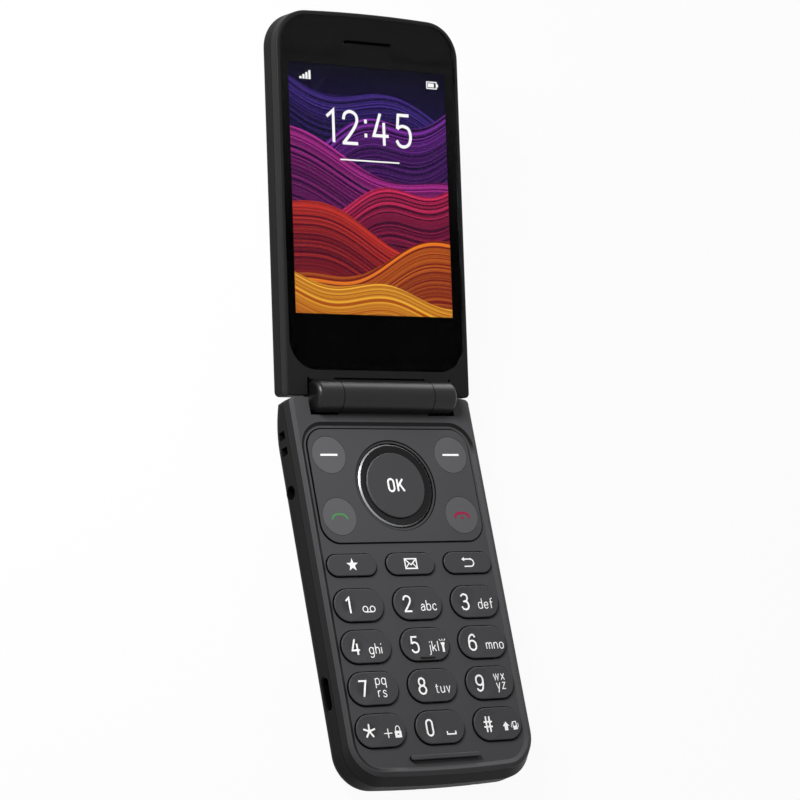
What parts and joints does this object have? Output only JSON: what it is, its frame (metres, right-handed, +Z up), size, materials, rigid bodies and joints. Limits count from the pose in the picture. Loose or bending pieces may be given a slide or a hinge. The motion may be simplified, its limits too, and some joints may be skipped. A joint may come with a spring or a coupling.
{
  "type": "clamshell mobile phone",
  "caption": "Open clamshell mobile phone: keypad base with a four-way ring, display lid folding on a barrel hinge, side sockets and a removable back.",
  "frame": {"origin": "on the base's flat back, where it rests, under the middle of the keypad side", "axes": "+X across the phone to the keypad's right, +Y from the foot of the base to the hinge, +Z up out of the keypad"},
  "size_m": [0.0559, 0.1963, 0.0349],
  "materials": {
    "front_grey": "satin paint on moulded plastic",
    "shell_dark": "fine matt moulded plastic",
    "lid_front_dark": "satin moulded plastic",
    "key_grey": "satin moulded plastic",
    "nav_grey": "satin moulded plastic",
    "nav_key_grey": "satin moulded plastic",
    "ring_dark": "gloss plastic with a bright plated edge",
    "hinge_grey": "metallic paint",
    "lens_clear": "clear polished acrylic",
    "mask_black": "black print behind the window",
    "display": "lit display",
    "soft_dark": "moulded rubber",
    "board_green": "coated circuit board",
    "cell": "wrapped metal can",
    "steel": "plated",
    "contact_gold": "gold plated",
    "insert_black": "black moulded plastic",
    "torch_clear": "frosted clear plastic",
    "flex_amber": "flexible film"
  },
  "bodies": {
    "base": {"base_front_housing": "front_grey", "base_chassis": "shell_dark", "battery_cover": "shell_dark", "battery": "cell", "battery_contacts": "contact_gold", "main_board": "board_green", "dome_sheet": "board_green", "keypad_mat": "soft_dark", "nav_plate": "nav_grey", "foot_bumper": "soft_dark", "audio_jack": "insert_black", "usb_socket": "steel", "dock_contacts": "contact_gold", "microphone": "soft_dark", "loudspeaker": "insert_black", "vibration_motor": "steel", "sim_socket": "steel", "hinge_barrel": "hinge_grey", "hinge_cartridge": "steel", "base_screws": "steel"},
    "lid": {"lid_front_housing": "lid_front_dark", "lid_rear_housing": "shell_dark", "display_lens": "lens_clear", "lens_mask": "mask_black", "display_panel": "display", "earpiece": "insert_black", "earpiece_mesh": "insert_black", "lid_board": "board_green", "outer_lens": "lens_clear", "outer_display": "display", "camera_module": "insert_black", "torch_lens": "torch_clear", "hinge_knuckles": "hinge_grey", "hinge_cam": "steel", "hinge_bush": "steel", "flex_cable": "flex_amber"},
    "nav_web": {"nav_web": "soft_dark"},
    "nav_ring": {"nav_ring": "ring_dark"},
    "volume_key": {"volume_key": "shell_dark"},
    "ok_key": {"ok_key": "nav_key_grey"},
    "left_soft_key": {"left_soft_key": "nav_key_grey"},
    "right_soft_key": {"right_soft_key": "nav_key_grey"},
    "call_key": {"call_key": "nav_key_grey"},
    "end_key": {"end_key": "nav_key_grey"},
    "favourite_key": {"favourite_key": "key_grey"},
    "message_key": {"message_key": "key_grey"},
    "back_key": {"back_key": "key_grey"},
    "key_1": {"key_1": "key_grey"},
    "key_2": {"key_2": "key_grey"},
    "key_3": {"key_3": "key_grey"},
    "key_4": {"key_4": "key_grey"},
    "key_5": {"key_5": "key_grey"},
    "key_6": {"key_6": "key_grey"},
    "key_7": {"key_7": "key_grey"},
    "key_8": {"key_8": "key_grey"},
    "key_9": {"key_9": "key_grey"},
    "key_star": {"key_star": "key_grey"},
    "key_0": {"key_0": "key_grey"},
    "key_hash": {"key_hash": "key_grey"}
  },
  "joints": [
    {"name": "lid_hinge", "type": "hinge", "parent": "base", "child": "lid", "pos_m": [0, 0.04925, 0.01055], "axis": [1, 0, 0], "range_deg": [0, 165.4]},
    {"name": "ok_key_press", "type": "slide", "parent": "base", "child": "ok_key", "axis": [0, 0, -1], "range_m": [0, 0.0003], "stiffness_N_per_m": 300},
    {"name": "left_soft_key_press", "type": "slide", "parent": "base", "child": "left_soft_key", "axis": [0, 0, -1], "range_m": [0, 0.0003], "stiffness_N_per_m": 300},
    {"name": "right_soft_key_press", "type": "slide", "parent": "base", "child": "right_soft_key", "axis": [0, 0, -1], "range_m": [0, 0.0003], "stiffness_N_per_m": 300},
    {"name": "call_key_press", "type": "slide", "parent": "base", "child": "call_key", "axis": [0, 0, -1], "range_m": [0, 0.0003], "stiffness_N_per_m": 300},
    {"name": "end_key_press", "type": "slide", "parent": "base", "child": "end_key", "axis": [0, 0, -1], "range_m": [0, 0.0003], "stiffness_N_per_m": 300},
    {"name": "favourite_key_press", "type": "slide", "parent": "base", "child": "favourite_key", "axis": [0, 0, -1], "range_m": [0, 0.0003], "stiffness_N_per_m": 300},
    {"name": "message_key_press", "type": "slide", "parent": "base", "child": "message_key", "axis": [0, 0, -1], "range_m": [0, 0.0003], "stiffness_N_per_m": 300},
    {"name": "back_key_press", "type": "slide", "parent": "base", "child": "back_key", "axis": [0, 0, -1], "range_m": [0, 0.0003], "stiffness_N_per_m": 300},
    {"name": "key_1_press", "type": "slide", "parent": "base", "child": "key_1", "axis": [0, 0, -1], "range_m": [0, 0.0003], "stiffness_N_per_m": 300},
    {"name": "key_2_press", "type": "slide", "parent": "base", "child": "key_2", "axis": [0, 0, -1], "range_m": [0, 0.0003], "stiffness_N_per_m": 300},
    {"name": "key_3_press", "type": "slide", "parent": "base", "child": "key_3", "axis": [0, 0, -1], "range_m": [0, 0.0003], "stiffness_N_per_m": 300},
    {"name": "key_4_press", "type": "slide", "parent": "base", "child": "key_4", "axis": [0, 0, -1], "range_m": [0, 0.0003], "stiffness_N_per_m": 300},
    {"name": "key_5_press", "type": "slide", "parent": "base", "child": "key_5", "axis": [0, 0, -1], "range_m": [0, 0.0003], "stiffness_N_per_m": 300},
    {"name": "key_6_press", "type": "slide", "parent": "base", "child": "key_6", "axis": [0, 0, -1], "range_m": [0, 0.0003], "stiffness_N_per_m": 300},
    {"name": "key_7_press", "type": "slide", "parent": "base", "child": "key_7", "axis": [0, 0, -1], "range_m": [0, 0.0003], "stiffness_N_per_m": 300},
    {"name": "key_8_press", "type": "slide", "parent": "base", "child": "key_8", "axis": [0, 0, -1], "range_m": [0, 0.0003], "stiffness_N_per_m": 300},
    {"name": "key_9_press", "type": "slide", "parent": "base", "child": "key_9", "axis": [0, 0, -1], "range_m": [0, 0.0003], "stiffness_N_per_m": 300},
    {"name": "key_star_press", "type": "slide", "parent": "base", "child": "key_star", "axis": [0, 0, -1], "range_m": [0, 0.0003], "stiffness_N_per_m": 300},
    {"name": "key_0_press", "type": "slide", "parent": "base", "child": "key_0", "axis": [0, 0, -1], "range_m": [0, 0.0003], "stiffness_N_per_m": 300},
    {"name": "key_hash_press", "type": "slide", "parent": "base", "child": "key_hash", "axis": [0, 0, -1], "range_m": [0, 0.0003], "stiffness_N_per_m": 300},
    {"name": "nav_rock_forward", "type": "hinge", "parent": "base", "child": "nav_web", "pos_m": [0, 0.02595, 0.00802], "axis": [1, 0, 0], "range_deg": [-1.2, 1.2], "stiffness_Nm_per_rad": 0.05},
    {"name": "nav_rock_side", "type": "hinge", "parent": "nav_web", "child": "nav_ring", "pos_m": [0, 0.02595, 0.00865], "axis": [0, 1, 0], "range_deg": [-1.2, 1.2], "stiffness_Nm_per_rad": 0.05},
    {"name": "volume_rock", "type": "hinge", "parent": "base", "child": "volume_key", "pos_m": [0.0261, 0.01785, 0.0037], "axis": [0, 0, 1], "range_deg": [-1.5, 1.5], "stiffness_Nm_per_rad": 0.05}
  ]
}
